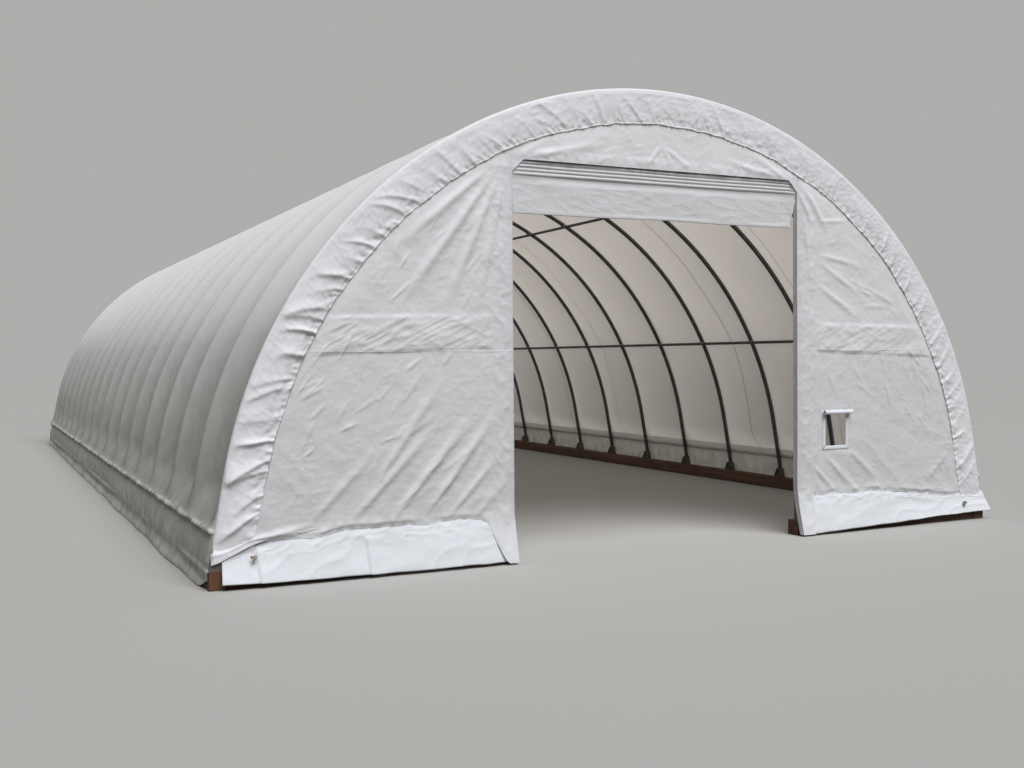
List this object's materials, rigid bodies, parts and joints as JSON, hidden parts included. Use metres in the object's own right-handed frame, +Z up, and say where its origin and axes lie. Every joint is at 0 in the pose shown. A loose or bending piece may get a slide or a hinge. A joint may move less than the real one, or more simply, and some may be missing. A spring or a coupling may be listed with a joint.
{
  "type": "fabric building",
  "caption": "Long round-hoop fabric building on timber sills, with a white cover, gathered end bands, an open doorway with its curtain gathered up, and a small vent window.",
  "frame": {"origin": "centre of the building's footprint, on the ground", "axes": "+Z up, +Y along the building from the doorway end to the closed end, +X to the right when facing the doorway from outside"},
  "size_m": [9.2476, 19.743, 4.7073],
  "materials": {
    "hoop_pipe": "dull dark galvanised pipe seen in shade",
    "purlin_pipe": "dull dark pipe",
    "foot_steel": "dull steel with a little rust",
    "sill_timber": "rough sawn, stained red-brown",
    "cover_fabric": "white coated woven fabric, satin",
    "end_fabric": "white coated woven fabric, satin, creased",
    "skirt_fabric": "bluish white coated fabric",
    "curtain_fabric": "white coated fabric in gathered folds"
  },
  "bodies": {
    "root": {"hoop_01": "hoop_pipe", "hoop_02": "hoop_pipe", "hoop_03": "hoop_pipe", "hoop_04": "hoop_pipe", "hoop_05": "hoop_pipe", "hoop_06": "hoop_pipe", "hoop_07": "hoop_pipe", "hoop_08": "hoop_pipe", "hoop_09": "hoop_pipe", "hoop_10": "hoop_pipe", "hoop_11": "hoop_pipe", "hoop_12": "hoop_pipe", "hoop_13": "hoop_pipe", "hoop_14": "hoop_pipe", "hoop_15": "hoop_pipe", "hoop_16": "hoop_pipe", "hoop_17": "hoop_pipe", "ridge_purlin": "purlin_pipe", "left_purlins": "purlin_pipe", "right_purlins": "purlin_pipe", "cover_pipes": "purlin_pipe", "door_frame": "purlin_pipe", "rear_posts": "purlin_pipe", "left_feet": "foot_steel", "right_feet": "foot_steel", "left_sill": "sill_timber", "right_sill": "sill_timber", "front_sill": "sill_timber", "rear_sill": "sill_timber", "cover_1": "cover_fabric", "cover_2": "cover_fabric", "cover_3": "cover_fabric", "cover_4": "cover_fabric", "cover_5": "cover_fabric", "front_band": "cover_fabric", "rear_band": "cover_fabric", "front_left_panel": "end_fabric", "front_right_panel": "end_fabric", "front_top_panel": "end_fabric", "rear_panel": "end_fabric", "vent_binding": "end_fabric", "vent_flap": "end_fabric", "left_side_skirt": "skirt_fabric", "right_side_skirt": "skirt_fabric", "front_left_skirt": "skirt_fabric", "front_right_skirt": "skirt_fabric", "rear_skirt": "skirt_fabric", "door_curtain": "curtain_fabric"}
  },
  "joints": []
}
